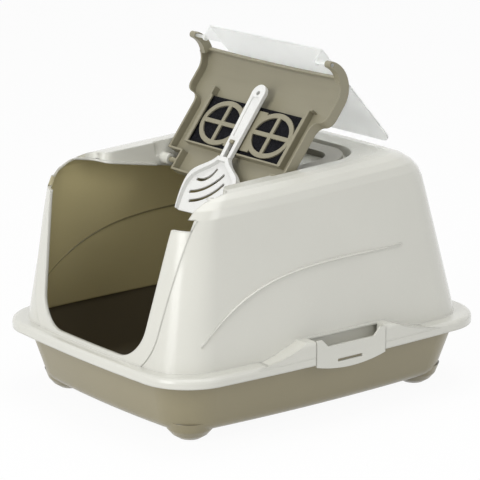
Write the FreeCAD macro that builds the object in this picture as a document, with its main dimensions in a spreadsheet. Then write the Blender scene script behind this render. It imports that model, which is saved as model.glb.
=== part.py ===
"""Covered litter box with a flip-up roof lid, a swing flap, a filter holder and a scoop.

Millimetres. +Z is up, the entry faces -Y, +X is the right side seen from the entry's far side,
and the origin is under the middle of the box at the bottom of its feet. The lid stands open.
"""
import FreeCAD, Part
import Sketcher
import math
import os

from FreeCAD import Placement, Rotation, Vector

DIMENSIONS = [
    ("wall", 3.0, "wall of the hood and the lid"),
    ("tray_wall", 2.8, "wall of the tray"),
    ("seat_gap", 0.3, "gap between pieces that rest on each other"),
    ("pin_gap", 0.05, "radial running clearance of every pin"),
    ("swing_gap", 1.0, "room beside pieces that turn"),
    ("flange_half_width", 229.0, "hood flange, middle to side"),
    ("flange_half_length", 288.5, "hood flange, middle to end"),
    ("flange_corner", 77.0, "corner radius of the flange"),
    ("side_bow", 11.3, "outward bow of the long sides"),
    ("end_bow", 10.4, "outward bow of the ends"),
    ("flange_low", 92.0, "lower edge of the flange lip"),
    ("flange_height", 14.0, "height of the flange lip"),
    ("flange_round", 6.0, "rounding of the flange's upper edge"),
    ("tray_inset", 17.5, "tray wall inside the flange's edge, at the rim"),
    ("tray_taper", 25.0, "how much the tray draws in towards its floor"),
    ("tray_under", 14.0, "height of the tray's underside"),
    ("tray_edge", 14.0, "rounding where the tray wall meets the floor"),
    ("tray_lip_inset", 5.0, "tray lip inside the flange's edge"),
    ("foot_side", 86.0, "middle of a foot inside the flange's edge"),
    ("foot_end", 85.5, "middle of a foot inside the flange's end"),
    ("foot_radius", 32.0, "dome of a foot at the tray's underside"),
    ("foot_toe", 16.0, "flat of a foot where it stands"),
    ("roof_z", 343.0, "height of the roof above the middle of the box"),
    ("roof_tilt", 2.67, "rise of the roof towards the rear, degrees"),
    ("side_inset", 75.0, "roof's side edge inside the flange's edge"),
    ("front_inset", 106.5, "roof's front edge inside the flange's end"),
    ("rear_inset", 140.5, "roof's rear edge inside the flange's end"),
    ("side_shoulder", 30.0, "shoulder radius at the sides"),
    ("front_shoulder", 55.0, "shoulder radius at the front"),
    ("rear_shoulder", 65.0, "shoulder radius at the rear"),
    ("side_lean", 6.2, "lean of the side walls, degrees"),
    ("front_lean", 10.3, "lean of the front wall, degrees"),
    ("rear_lean", 17.2, "lean of the rear wall, degrees"),
    ("hood_corner", 66.0, "corner radius of the hood at its foot"),
    ("roof_corner", 44.0, "corner radius of the hood at its roof"),
    ("entry_inset", 86.0, "entry's side at its top, inside the flange's edge"),
    ("entry_drop", 50.0, "pillars beside the entry end below the roof's height"),
    ("sill_rise", 5.0, "entry's sill above the flange"),
    ("entry_lean", 9.1, "lean of the entry's sides, degrees"),
    ("entry_corner", 53.0, "radius of the entry's lower corners"),
    ("band_width", 25.0, "width of the raised band round the entry"),
    ("band_raise", 1.4, "height of the raised band and the moulded line"),
    ("notch_height", 14.5, "height of the notches for the lid's ears"),
    ("notch_reach", 25.0, "notch past the entry's side at its top"),
    ("swoosh_width", 3.0, "width of the moulded line on the sides"),
    ("swoosh_front", 67.5, "front end of the moulded line inside the flange's end"),
    ("swoosh_rear", 156.5, "rear end of the moulded line inside the flange's end"),
    ("swoosh_low", 37.0, "front end of the moulded line above the flange"),
    ("swoosh_rise", 84.0, "climb of the moulded line"),
    ("dish_margin", 3.0, "recess floor past the lid's narrow sides"),
    ("dish_length", 155.7, "recess floor behind the lid axis"),
    ("dish_depth", 19.7, "recess floor below the roof, at the lid axis"),
    ("dish_tilt", 5.5, "rise of the recess floor towards the rear, degrees"),
    ("dish_draft", 8.0, "how much the recess opens towards its top"),
    ("dish_corner", 61.0, "radius of the recess's rear corners"),
    ("hinge_setback", 142.3, "lid axis behind the roof's front edge"),
    ("hinge_drop", 27.0, "lid axis below the roof's height"),
    ("lid_open", 52.8, "slope of the open lid, degrees"),
    ("lid_travel", 117.4, "swing of the lid from open to shut, degrees"),
    ("hinge_pin", 4.0, "radius of the lid's hinge pins"),
    ("hinge_boss", 8.0, "radius of the hood's hinge bosses"),
    ("boss_length", 14.0, "reach of a hinge boss under the lid's side"),
    ("lid_flare", 27.0, "how much narrower the lid's rear part is on each side"),
    ("lid_inset", 71.0, "lid's front part inside the flange's edge"),
    ("flare_start", 92.0, "where the lid starts to widen, from its axis"),
    ("flare_end", 121.0, "where the lid has its full width"),
    ("lid_rear", 16.0, "rear edge of the lid's sides, in front of its axis"),
    ("tab_step", 28.0, "rear tab inside the lid's narrow side"),
    ("tab_reach", 14.0, "how far the tab reaches behind the axis"),
    ("tab_gap", 12.8, "room for the tab's swing behind it"),
    ("lid_rise", 7.4, "lid's outer face above its axis, at its sides"),
    ("lid_crown", 7.0, "how much the lid's middle stands above its sides"),
    ("lid_bend", 143.5, "where the lid starts to bend over the front"),
    ("lid_bend_radius", 41.0, "radius of that bend"),
    ("lid_bend_angle", 60.0, "angle of that bend, degrees"),
    ("lid_rim", 15.0, "depth of the lid's down-turned edge"),
    ("lip_depth", 4.0, "depth of the lip along the lid's front edge"),
    ("lid_gap", 2.0, "gap between the lid and the hood beside it"),
    ("ledge_width", 6.0, "ledge under the lid's edge"),
    ("ear_reach", 178.0, "flap axis from the lid axis, along the lid"),
    ("ear_drop", 46.5, "flap axis below the lid axis, across the lid"),
    ("ear_width", 11.0, "thickness of an ear"),
    ("ear_radius", 5.0, "round end of an ear"),
    ("ear_overlap", 8.0, "ear along the lid's bent side, degrees"),
    ("flap_pin", 2.5, "radius of the flap's pins"),
    ("flap_side_gap", 20.0, "flap's side inside the ear"),
    ("flap_length", 190.0, "flap below its axis"),
    ("flap_strip", 6.5, "flap above its axis"),
    ("flap_sheet", 2.4, "thickness of the flap"),
    ("flap_offset", 16.0, "flap sheet beside its axis"),
    ("flap_corner", 20.0, "radius of the flap's lower corners"),
    ("flap_knuckle", 5.0, "radius of the flap's arms at the axis"),
    ("flap_arm", 2.8, "thickness of the flap's arms"),
    ("flap_arm_drop", 30.0, "lower end of the flap's arms below its axis"),
    ("flap_lean", 48.0, "slope of the flap as it leans behind the lid, degrees"),
    ("filter_inset", 25.0, "filter inside the lid's narrow side"),
    ("filter_low", 35.0, "lower edge of the filter, from the lid axis"),
    ("filter_length", 76.5, "length of the filter along the lid"),
    ("filter_thick", 4.5, "thickness of the filter"),
    ("rail_width", 2.5, "web of the rails that hold the filter"),
    ("rail_lip", 4.0, "lip of those rails over the holder"),
    ("rail_tip", 13.0, "rail past the filter's upper edge"),
    ("holder_thick", 2.8, "thickness of the filter holder"),
    ("window_edge", 6.0, "window's rim inside the filter's edge"),
    ("window_gap", 18.5, "window's edge from the lid's middle"),
    ("window_half_length", 28.0, "half the length of a window"),
    ("window_ring", 7.5, "rim round a window"),
    ("window_bar", 6.5, "bar across a window"),
    ("bridge_overlap", 9.5, "plate between the windows, past a window's edge"),
    ("bridge_length", 64.0, "length of the plate between the windows"),
    ("hook_place", 47.0, "hook for the scoop, from the lid axis"),
    ("hook_half", 3.4, "half the width of the hook"),
    ("hook_depth", 5.0, "size of the hook along the lid"),
    ("hook_tall", 12.0, "how far the hook stands out"),
    ("vent_margin", 1.0, "vent slot past a window's end"),
    ("vent_width", 5.0, "width of a vent slot"),
    ("vent_step", 12.0, "distance between vent slots"),
    ("scoop_tilt", 2.2, "turn of the hanging scoop in the lid's plane, degrees"),
    ("scoop_handle", 91.0, "scoop above its hook"),
    ("scoop_handle_half", 13.6, "half the width of the scoop's handle at its end"),
    ("scoop_neck_half", 11.0, "half the width of the scoop's neck"),
    ("scoop_thick", 6.0, "thickness of the scoop's handle"),
    ("scoop_groove", 1.8, "depth of the groove in the scoop's handle"),
    ("scoop_wall", 6.0, "walls beside that groove"),
    ("scoop_slot", 28.0, "length of the slot in the scoop's neck"),
    ("scoop_head", 90.0, "length of the scoop's head below that slot"),
    ("scoop_head_half", 54.0, "half the width of the scoop's head"),
    ("scoop_edge_half", 44.0, "half the width of the scoop's edge"),
    ("scoop_floor", 2.5, "floor of the scoop"),
    ("scoop_border", 4.5, "border round the scoop's hollow"),
    ("scoop_rim", 3.0, "rim of the scoop's head above its handle"),
    ("slit_turn", 33.5, "slant of the scoop's slits, degrees"),
    ("slit_step", 16.0, "distance between the scoop's slits"),
    ("slit_half", 30.0, "half the length of a long slit"),
    ("slit_short", 17.0, "half the length of the short slit"),
    ("slit_sag", 6.5, "bow of a slit"),
    ("slit_width", 5.5, "width of a slit"),
    ("slit_side", 11.0, "middle slit beside the scoop's middle"),
    ("slit_down", 45.0, "middle slit below the scoop's neck"),
    ("scoop_hole", 3.4, "radius of the hole in the scoop's handle"),
    ("handle_bar", 25.0, "width of the carry handle's bar"),
    ("handle_end_gap", 3.0, "gap behind the carry handle"),
    ("handle_thick", 9.0, "thickness of the carry handle"),
    ("handle_corner", 58.0, "outer corner radius of the carry handle"),
    ("handle_setback", 50.0, "carry handle's axis behind the lid axis"),
    ("handle_pin", 3.5, "radius of the carry handle's pins"),
    ("handle_lug", 9.0, "width of the lugs that hold the pins"),
    ("clip_front", 51.0, "front end of a side clip, in front of the middle"),
    ("clip_rear", 72.0, "rear end of a side clip, behind the middle"),
    ("clip_rise", 20.0, "top of a side clip's ends above the flange"),
    ("clip_dip", 11.0, "how far a side clip's middle dips"),
    ("clip_ear", 20.0, "length of a side clip's ends"),
    ("clip_hang", 3.5, "lower corners of a side clip below the flange's lip"),
    ("clip_belly", 8.0, "bulge of a side clip's lower edge"),
    ("clip_sheet", 3.0, "thickness of a side clip"),
    ("clip_axis_drop", 8.0, "side clip's axis below its top"),
    ("clip_axis_inset", 10.0, "side clip's axis inside the flange's edge"),
    ("clip_pin", 2.5, "radius of a side clip's pins"),
    ("clip_slot_front", 14.0, "front end of a side clip's slot"),
    ("clip_slot_rear", 30.0, "rear end of a side clip's slot"),
    ("clip_slot_rise", 4.0, "side clip's slot above its lower corners"),
    ("clip_slot_width", 4.0, "width of a side clip's slot"),
    ("clip_cheek", 3.0, "thickness of a side clip's end plates"),
    ("cheek_wall", 4.0, "hood walls at the ends of a side clip"),
    ("ramp_front", 150.0, "front end of the flange's rise to a side clip"),
    ("ramp_rear", 180.0, "rear end of the flange's rise to a side clip"),
    ("ramp_shelf", 16.0, "level part of that rise beside a side clip"),
]

FORMULAS = {
    "flange_top": "flange_low + flange_height",
    "side_top": "flange_half_width - side_inset",
    "front_top": "flange_half_length - front_inset",
    "rear_top": "flange_half_length - rear_inset",
    "foot_x": "flange_half_width - foot_side",
    "foot_y": "flange_half_length - foot_end",
    "entry_half": "flange_half_width - entry_inset",
    "entry_top": "roof_z - entry_drop",
    "entry_sill": "flange_top + sill_rise",
    "notch_half": "entry_half + notch_reach",
    "hinge_front": "front_top - hinge_setback",
    "hinge_z": "roof_z - hinge_drop",
    "lid_wide": "flange_half_width - lid_inset",
    "lid_narrow": "lid_wide - lid_flare",
    "tab_half": "lid_narrow - tab_step",
    "dish_half": "lid_narrow + dish_margin",
    "filter_half": "lid_narrow - filter_inset",
    "window_half_width": "0.5 * (filter_half - window_edge - window_ring - window_gap)",
    "window_x": "window_gap + window_half_width",
    "bridge_half": "window_gap + bridge_overlap",
    "vent_half": "window_half_width + vent_margin",
    "lid_face": "wall - lid_rise - lid_crown * (1 - filter_half * filter_half / (lid_wide * lid_wide))",
    "holder_level": "lid_face + filter_thick + 2 * seat_gap",
    "rail_top": "holder_level + holder_thick + seat_gap",
    "flap_half": "lid_wide - ear_width - flap_side_gap",
    "handle_half": "dish_half - handle_lug - swing_gap",
    "handle_reach": "dish_length - handle_end_gap - handle_setback",
    "clip_top": "flange_top + clip_rise",
    "clip_low": "flange_low - clip_hang",
    "clip_axis": "clip_top - clip_axis_drop",
    "clip_slot_z": "clip_low + clip_slot_rise",
}

X_AXIS = Vector(1, 0, 0)
Y_AXIS = Vector(0, 1, 0)
Z_AXIS = Vector(0, 0, 1)
FAR = 400.0
SIDES = (1, -1)


def make_sheet(doc):
    """The driving dimensions, one aliased cell each."""
    sheet = doc.addObject("Spreadsheet::Sheet", "Sheet")
    for row, (alias, value, note) in enumerate(DIMENSIONS, start=1):
        sheet.set(f"A{row}", note)
        sheet.set(f"B{row}", str(value))
        sheet.setAlias(f"B{row}", alias)
    doc.recompute()
    return sheet


doc = FreeCAD.newDocument("CoveredLitterBox")
sheet = make_sheet(doc)


def expanded(expression, prefix=""):
    """An expression with its formulas written out, down to the sheet's cells."""
    cells = {alias for alias, value, note in DIMENSIONS}
    words = []
    word = ""
    for letter in expression + " ":
        if letter.isalnum() or letter == "_":
            word += letter
            continue
        if word in FORMULAS:
            word = f"({expanded(FORMULAS[word], prefix)})"
        elif word in cells:
            word = prefix + word
        words += [word, letter]
        word = ""
    return "".join(words).strip()


def value_of(expression):
    """Value of an expression over the sheet's cells and the formulas."""
    return float(sheet.evalExpression(expanded(expression)))


def bound(expression):
    """The same expression as another object of the document writes it."""
    return expanded(expression, "Sheet.")


def size(name):
    """One driving dimension, or one that follows from them."""
    return value_of(name) if name in FORMULAS else float(sheet.get(name))


def radians(alias):
    return math.radians(size(alias))


def shelf_under():
    """Underside of the flange's shelf, which the tray's rim carries."""
    return size("flange_top") - size("wall")


def lid_placement(angle):
    """Lid frame: X across, Y from the hinge to the lid's front, Z towards the lid's inner side."""
    return Placement(Vector(0, -size("hinge_front"), size("hinge_z")), Rotation(X_AXIS, angle))


def shut_lid():
    return lid_placement(size("lid_open") + size("lid_travel"))


def open_lid():
    return lid_placement(size("lid_open"))


def line(start, end):
    return Part.LineSegment(start, end).toShape()


def arc(start, middle, end):
    return Part.Arc(start, middle, end).toShape()


def prism(edges, direction):
    """Solid swept by a closed flat outline along a direction."""
    return Part.Face(Part.Wire(edges)).extrude(direction)


def polygon(points):
    closed = points + points[:1]
    return [line(a, b) for a, b in zip(closed, closed[1:])]


def block(low, high):
    """Box between two corners."""
    spread = high - low
    return Part.makeBox(spread.x, spread.y, spread.z, low)


def placed(shape, placement):
    copy = shape.copy()
    copy.Placement = placement.multiply(copy.Placement)
    return copy


def mirrored(shape):
    """The same shape on the other side of the box."""
    return shape.mirror(Vector(0, 0, 0), X_AXIS)


def bowed_outline(half_x, half_y, bow_x, bow_y, corner, middle_y=0.0):
    """Rounded rectangle whose sides bow outwards, as edges in the XY plane."""
    side_radius = (half_y ** 2 + bow_x ** 2) / (2 * bow_x)
    end_radius = (half_x ** 2 + bow_y ** 2) / (2 * bow_y)
    side_middle = half_x - side_radius
    end_middle = half_y - end_radius
    reach_side = side_radius - corner
    reach_end = end_radius - corner
    apart = math.hypot(side_middle, end_middle)
    along = (reach_side ** 2 - reach_end ** 2 + apart ** 2) / (2 * apart)
    across = math.sqrt(reach_side ** 2 - along ** 2)
    unit_x = -side_middle / apart
    unit_y = end_middle / apart
    corner_x = side_middle + along * unit_x - across * unit_y
    corner_y = along * unit_y + across * unit_x
    side_angle = math.atan2(corner_y, corner_x - side_middle)
    end_angle = math.atan2(corner_y - end_middle, corner_x)
    side_joint = (corner_x + corner * math.cos(side_angle), corner_y + corner * math.sin(side_angle))
    end_joint = (corner_x + corner * math.cos(end_angle), corner_y + corner * math.sin(end_angle))
    half_angle = (side_angle + end_angle) / 2
    bulge = (corner_x + corner * math.cos(half_angle), corner_y + corner * math.sin(half_angle))

    def at(point, sign_x, sign_y):
        return Vector(sign_x * point[0], middle_y + sign_y * point[1], 0)

    return [
        arc(at(side_joint, 1, -1), Vector(half_x, middle_y, 0), at(side_joint, 1, 1)),
        arc(at(side_joint, 1, 1), at(bulge, 1, 1), at(end_joint, 1, 1)),
        arc(at(end_joint, 1, 1), Vector(0, middle_y + half_y, 0), at(end_joint, -1, 1)),
        arc(at(end_joint, -1, 1), at(bulge, -1, 1), at(side_joint, -1, 1)),
        arc(at(side_joint, -1, 1), Vector(-half_x, middle_y, 0), at(side_joint, -1, -1)),
        arc(at(side_joint, -1, -1), at(bulge, -1, -1), at(end_joint, -1, -1)),
        arc(at(end_joint, -1, -1), Vector(0, middle_y - half_y, 0), at(end_joint, 1, -1)),
        arc(at(end_joint, 1, -1), at(bulge, 1, -1), at(side_joint, 1, -1)),
    ]


def flange_edges(inset):
    """The flange's outline, drawn in by an inset."""
    return bowed_outline(
        size("flange_half_width") - inset, size("flange_half_length") - inset,
        size("side_bow"), size("end_bow"), size("flange_corner") - 0.5 * inset)


def flange_prism(inset, low, high):
    """Upright solid over the flange's outline, drawn in by an inset."""
    solid = prism(flange_edges(inset), Vector(0, 0, high - low))
    return placed(solid, at_height(low))


def skin(rows):
    """Solid through a stack of bowed outlines, each given by its edges and its place."""
    return Part.makeLoft([placed(Part.Wire(edges), place) for edges, place in rows], True, True)


def at_height(height):
    return Placement(Vector(0, 0, height), Rotation())


def evenly(start, end, count):
    """Places from a start towards an end, which itself is left out."""
    return [start + (end - start) * index / count for index in range(count)]


def rounding_rows(radius, step):
    """Rows of a quarter round: how far in and how far up from where it starts on the wall."""
    turns = [math.radians(angle) for angle in range(0, 91, step)]
    return [(radius * (1 - math.cos(turn)), radius * math.sin(turn)) for turn in turns]


def flange_block(low, high):
    """Solid over the flange's outline with a rounded upper edge."""
    radius = size("flange_round")
    rows = [(0, low)] + [(inward, high - radius + upward) for inward, upward in rounding_rows(radius, 30)]
    return skin([(flange_edges(inset), at_height(height)) for inset, height in rows])


def tray_form(inset, under, top):
    """Tapered tub with a rounded bottom between two heights, drawn in by an inset."""
    rim = shelf_under()
    slope = size("tray_taper") / (rim - size("tray_under"))
    radius = size("tray_edge") - inset
    wall_foot = under + radius
    rows = [(0, height) for height in evenly(top, wall_foot, 3)]
    rows += [(inward, wall_foot - downward) for inward, downward in rounding_rows(radius, 18)]
    return skin([
        (flange_edges(size("tray_inset") + inset + slope * (rim - height) + inward), at_height(height))
        for inward, height in rows])


def make_foot(top):
    """Domed foot with a flat toe, up to a height."""
    toe = size("foot_toe")
    under = size("tray_under")
    middle = (size("foot_radius") ** 2 + under ** 2 - toe ** 2) / (2 * under)
    radius = math.hypot(toe, middle)
    heights = [0.0, 0.4 * under, under, top]
    flank = [Vector(math.sqrt(radius ** 2 - (middle - height) ** 2), 0, height) for height in heights]
    profile = polygon([Vector(0, 0, 0)] + flank + [Vector(0, 0, top)])
    return Part.Face(Part.Wire(profile)).revolve(Vector(0, 0, 0), Z_AXIS, 360)


def make_tray():
    """Tub with a lip that carries the hood, on four domed feet."""
    rim = shelf_under() - size("seat_gap")
    outer = tray_form(0, size("tray_under"), rim)
    inner = tray_form(size("tray_wall"), size("tray_under") + size("tray_wall"), rim + 1)
    lip = flange_prism(size("tray_lip_inset"), rim - size("tray_wall"), rim)
    foot = make_foot(size("tray_under") + size("tray_edge"))
    feet = []
    for side in SIDES:
        for end in SIDES:
            place = Vector(side * size("foot_x"), end * size("foot_y"), 0)
            feet.append(placed(foot, Placement(place, Rotation())))
    return outer.fuse([lip] + feet).cut(inner)


def wall_place(depth, top_edge, radius, lean):
    """Distance from the middle to a leaning wall that rounds over into the roof, at a depth below it."""
    straight = radius * (1 - math.sin(lean))
    if depth < straight:
        return top_edge + math.sqrt(radius ** 2 - (radius - depth) ** 2)
    return top_edge + radius * math.cos(lean) + (depth - straight) * math.tan(lean)


def hood_form(inset, foot):
    """Solid inside the hood's outer surface, drawn in by an inset, down to a foot height."""
    total = size("roof_z") - shelf_under()
    shoulder = size("front_shoulder")
    lowest = size("roof_z") - inset - foot
    depths = [inward for inward, upward in rounding_rows(shoulder, 15)][:-1]
    depths += evenly(shoulder, lowest, 4) + [lowest]
    rows = []
    for depth in depths:
        share = min((depth + inset) / total, 1.0)
        side = wall_place(depth, size("side_top"), size("side_shoulder") - inset, radians("side_lean"))
        front = wall_place(depth, size("front_top"), size("front_shoulder") - inset, radians("front_lean"))
        rear = wall_place(depth, size("rear_top"), size("rear_shoulder") - inset, radians("rear_lean"))
        corner = size("roof_corner") + (size("hood_corner") - size("roof_corner")) * share - 0.5 * inset
        bow = 0.5 + 0.5 * share
        outline = bowed_outline(
            side, (front + rear) / 2, size("side_bow") * bow, size("end_bow") * bow, corner, (rear - front) / 2)
        level = Placement(
            Vector(0, 0, size("roof_z") - inset - depth), Rotation(X_AXIS, size("roof_tilt") * (1 - share)))
        rows.append((outline, level))
    return skin(rows)


def recess_outline(half, front, rear, corner):
    """Outline of the roof recess: square in front, round at its rear corners."""
    bend = corner * (1 - math.sqrt(0.5))
    points = {}
    for side in SIDES:
        points[side] = (
            Vector(side * half, front, 0), Vector(side * half, rear - corner, 0),
            Vector(side * (half - bend), rear - bend, 0), Vector(side * (half - corner), rear, 0))
    right = points[1]
    left = points[-1]
    return Part.Wire([
        line(right[0], right[1]), arc(right[1], right[2], right[3]), line(right[3], left[3]),
        arc(left[3], left[2], left[1]), line(left[1], left[0]), line(left[0], right[0])])


def dish_placement():
    """Frame of the roof recess: its XY plane is the recess floor, its origin is over the lid axis."""
    front = -size("hinge_front")
    roof = size("roof_z") + front * math.tan(radians("roof_tilt"))
    return Placement(Vector(0, front, roof - size("dish_depth")), Rotation(X_AXIS, size("dish_tilt")))


def recess_form(grow):
    """Space of the roof recess, widened by a wall."""
    front = -size("lid_rear")
    height = 2 * size("dish_depth")
    draft = size("dish_draft")
    low = recess_outline(
        size("dish_half") + grow, front, size("dish_length") + grow, size("dish_corner") + grow)
    low.translate(Vector(0, 0, -grow))
    high = recess_outline(
        size("dish_half") + grow + draft, front, size("dish_length") + grow + 2 * draft,
        size("dish_corner") + grow + draft)
    high.translate(Vector(0, 0, height))
    return placed(Part.makeLoft([low, high], True, True), dish_placement())


def lid_plan(grow, rear, front):
    """Plan of the lid or its opening in the lid frame: narrow at the hinge, flared, then wide."""
    narrow = size("lid_narrow") + grow
    wide = size("lid_wide") + grow
    start = size("flare_start")
    end = size("flare_end")
    radius = ((end - start) ** 2 + (wide - narrow) ** 2) / (4 * (wide - narrow))
    turn = 0.5 * math.asin(0.5 * (end - start) / radius)
    inward = radius * (1 - math.cos(turn))
    along = radius * math.sin(turn)

    def flare(side):
        middle = Vector(side * 0.5 * (narrow + wide), 0.5 * (start + end), 0)
        return [
            arc(Vector(side * narrow, start, 0), Vector(side * (narrow + inward), start + along, 0), middle),
            arc(middle, Vector(side * (wide - inward), end - along, 0), Vector(side * wide, end, 0))]

    return [
        line(Vector(-narrow, rear, 0), Vector(narrow, rear, 0)),
        line(Vector(narrow, rear, 0), Vector(narrow, start, 0)), *flare(1),
        line(Vector(wide, end, 0), Vector(wide, front, 0)),
        line(Vector(wide, front, 0), Vector(-wide, front, 0)),
        line(Vector(-wide, front, 0), Vector(-wide, end, 0)), *reversed(flare(-1)),
        line(Vector(-narrow, start, 0), Vector(-narrow, rear, 0))]


def lid_prism(grow, rear, front, low, high):
    """Upright solid over a lid plan in the lid frame, between two levels across the lid."""
    solid = prism(lid_plan(grow, rear, front), Vector(0, 0, high - low))
    return placed(solid, Placement(Vector(0, 0, low), Rotation()))


def entry_outline(grow):
    """Outline of the entry seen from the front, widened by a margin at its sides and its sill."""
    lean = radians("entry_lean")
    top = size("entry_top") + size("notch_height")
    sill = size("entry_sill") - grow
    radius = size("entry_corner") + grow
    half_top = size("entry_half") + grow / math.cos(lean) + (top - size("entry_top")) * math.tan(lean)
    foot = half_top - (top - sill) * math.tan(lean)
    setback = radius * math.tan((math.pi / 2 - lean) / 2)
    centre = Vector(foot - setback, 0, sill + radius)
    tangent = centre + Vector(math.cos(lean), 0, -math.sin(lean)) * radius
    bulge_angle = (lean + math.pi / 2) / 2
    bulge = centre + Vector(math.cos(bulge_angle), 0, -math.sin(bulge_angle)) * radius

    def flip(point):
        return Vector(-point.x, point.y, point.z)

    low = Vector(foot - setback, 0, sill)
    high = Vector(half_top, 0, top)
    return [
        line(flip(low), low), arc(low, bulge, tangent), line(tangent, high), line(high, flip(high)),
        line(flip(high), flip(tangent)), arc(flip(tangent), flip(bulge), flip(low))]


def entry_prism(grow):
    """Entry outline carried through the front wall."""
    solid = prism(entry_outline(grow), Vector(0, FAR, 0))
    return placed(solid, Placement(Vector(0, -FAR - 0.5 * size("front_top"), 0), Rotation()))


def smooth_edge(points):
    curve = Part.BSplineCurve()
    curve.interpolate(points)
    return curve.toShape()


def ramp_prism(lower):
    """Side view of the flange's rise to the side clips, carried through the whole width."""
    foot = shelf_under()
    top = size("clip_top") - lower
    knee = 0.7 * foot + 0.3 * top
    shelf = size("ramp_shelf")

    def slope(tip, clip_end):
        return [Vector(-FAR, tip, foot), Vector(-FAR, 0.62 * tip + 0.38 * clip_end, knee),
                Vector(-FAR, clip_end + math.copysign(shelf, tip), top)]

    climb = slope(-size("ramp_front"), -size("clip_front"))
    fall = slope(size("ramp_rear"), size("clip_rear"))
    edges = [smooth_edge(climb), line(climb[-1], fall[-1]), smooth_edge(fall[::-1]), line(fall[0], climb[0])]
    return prism(edges, Vector(2 * FAR, 0, 0))


def swoosh_prism():
    """Side view of the moulded line, carried through the whole width."""
    front = size("swoosh_front") - size("flange_half_length")
    rear = size("flange_half_length") - size("swoosh_rear")
    low = size("flange_top") + size("swoosh_low")
    shares = (0, 0.1, 0.2, 0.4, 0.65, 1)
    upper = smooth_edge([
        Vector(-FAR, front + share * (rear - front), low + size("swoosh_rise") * (1 - (1 - share) ** 4.4))
        for share in shares])
    lower = upper.copy()
    lower.translate(Vector(0, 0, -size("swoosh_width")))
    ends = [(upper.Vertexes[i].Point, lower.Vertexes[i].Point) for i in (0, 1)]
    return prism([upper, line(*ends[1]), lower, line(*reversed(ends[0]))], Vector(2 * FAR, 0, 0))


def clip_axis_x():
    return size("flange_half_width") - size("clip_axis_inset")


def clip_gap(margin, low):
    """Gap in the flange for the right side clip, with a margin at its ends."""
    wall = size("wall")
    return block(
        Vector(clip_axis_x() - size("clip_axis_inset"), -size("clip_front") - margin, low),
        Vector(size("flange_half_width") + wall, size("clip_rear") + margin, size("clip_top") + wall))


def both_sides(shape):
    return shape.fuse(mirrored(shape))


def hinge_bosses():
    """Bosses beside the lid's tab, with bores for its pins, in the hood's frame."""
    start = size("lid_narrow") - size("boss_length")
    end = size("lid_narrow") + size("lid_gap") + size("wall")
    base = Vector(start, -size("hinge_front"), size("hinge_z"))
    boss = Part.makeCylinder(size("hinge_boss"), end - start, base, X_AXIS)
    bore = Part.makeCylinder(size("hinge_pin") + size("pin_gap"), end - start - size("wall"), base, X_AXIS)
    return both_sides(boss), both_sides(bore)


def handle_height():
    """Height of the carry handle's axis above the recess floor."""
    return size("handle_thick") / 2 + size("seat_gap")


def handle_placement():
    """Frame of the carry handle: on the recess floor, with its axis along X."""
    local = Placement(Vector(0, size("handle_setback"), handle_height()), Rotation())
    return dish_placement().multiply(local)


def handle_lugs():
    """Lugs on the recess floor that hold the carry handle's pins."""
    start = size("handle_half") + size("swing_gap")
    radius = size("handle_thick") / 2 + 1.5
    base = Vector(start, 0, 0)
    lug = Part.makeCylinder(radius, size("handle_lug"), base, X_AXIS)
    lug = lug.fuse(block(
        Vector(start, -radius, -handle_height() - 0.5 * size("wall")),
        Vector(start + size("handle_lug"), radius, 0)))
    bore = Part.makeCylinder(size("handle_pin") + size("pin_gap"), size("handle_lug") - 2, base, X_AXIS)
    frame = handle_placement()
    return placed(both_sides(lug), frame), placed(both_sides(bore), frame)


def make_hood():
    """Shell with a flange, an entry with a raised band, a roof opening and a roof recess."""
    wall = size("wall")
    gap = size("lid_gap")
    base = shelf_under()
    top = size("clip_top")
    outer = hood_form(0, base)
    recess = recess_form(0)
    shut = shut_lid()
    rear_edge = -size("tab_reach") - size("tab_gap")

    flange = flange_block(size("flange_low"), size("flange_top"))
    cheeks = flange_block(base, top).common(ramp_prism(0))
    raised = hood_form(-size("band_raise"), base)
    band = entry_prism(size("band_width")).common(raised)
    swoosh = swoosh_prism().common(raised)
    body = outer.fuse([flange, cheeks, band, swoosh])

    cavity = hood_form(wall, size("flange_low") - 1).cut(recess_form(wall))
    under_flange = flange_prism(wall, size("flange_low") - 1, base)
    clip_walls = both_sides(clip_gap(size("swing_gap") + size("cheek_wall"), base))
    in_cheeks = flange_prism(wall, base, top - wall).common(ramp_prism(wall)).cut([outer, clip_walls])

    notch_top = size("entry_top") + size("notch_height")
    notch = block(
        Vector(-size("notch_half"), -FAR, size("entry_top")),
        Vector(size("notch_half"), -size("front_top"), notch_top))
    opening = placed(lid_prism(gap, rear_edge, FAR, -FAR / 4, size("ear_drop")), shut)

    ledge_level = size("lid_rim") - size("lid_rise") + size("swing_gap")
    rim = lid_prism(gap + wall, rear_edge, FAR, -FAR / 4, ledge_level + wall)
    rim = placed(rim, shut).common(outer)
    shelf = lid_prism(gap + 0.5 * wall, size("lid_rear"), size("lid_bend"), ledge_level, ledge_level + wall)
    shelf = shelf.cut(lid_prism(gap - size("ledge_width"), 0, FAR, ledge_level - 1, ledge_level + wall + 1))
    shelf = placed(shelf, shut).common(outer)

    bosses, bores = hinge_bosses()
    lugs, lug_bores = handle_lugs()
    margin = size("swing_gap") + size("cheek_wall") - 0.5
    pin_holes = Part.makeCylinder(
        size("clip_pin") + size("pin_gap"), size("clip_front") + size("clip_rear") + 2 * margin,
        Vector(clip_axis_x(), -size("clip_front") - margin, size("clip_axis")), Y_AXIS)

    hood = body.cut([cavity, recess, under_flange, in_cheeks])
    hood = hood.fuse(rim)
    hood = hood.cut([opening, recess, entry_prism(0), notch, both_sides(clip_gap(size("swing_gap"), 0))])
    hood = hood.fuse([shelf, bosses, lugs])
    return hood.cut([bores, lug_bores, both_sides(pin_holes)])


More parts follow.
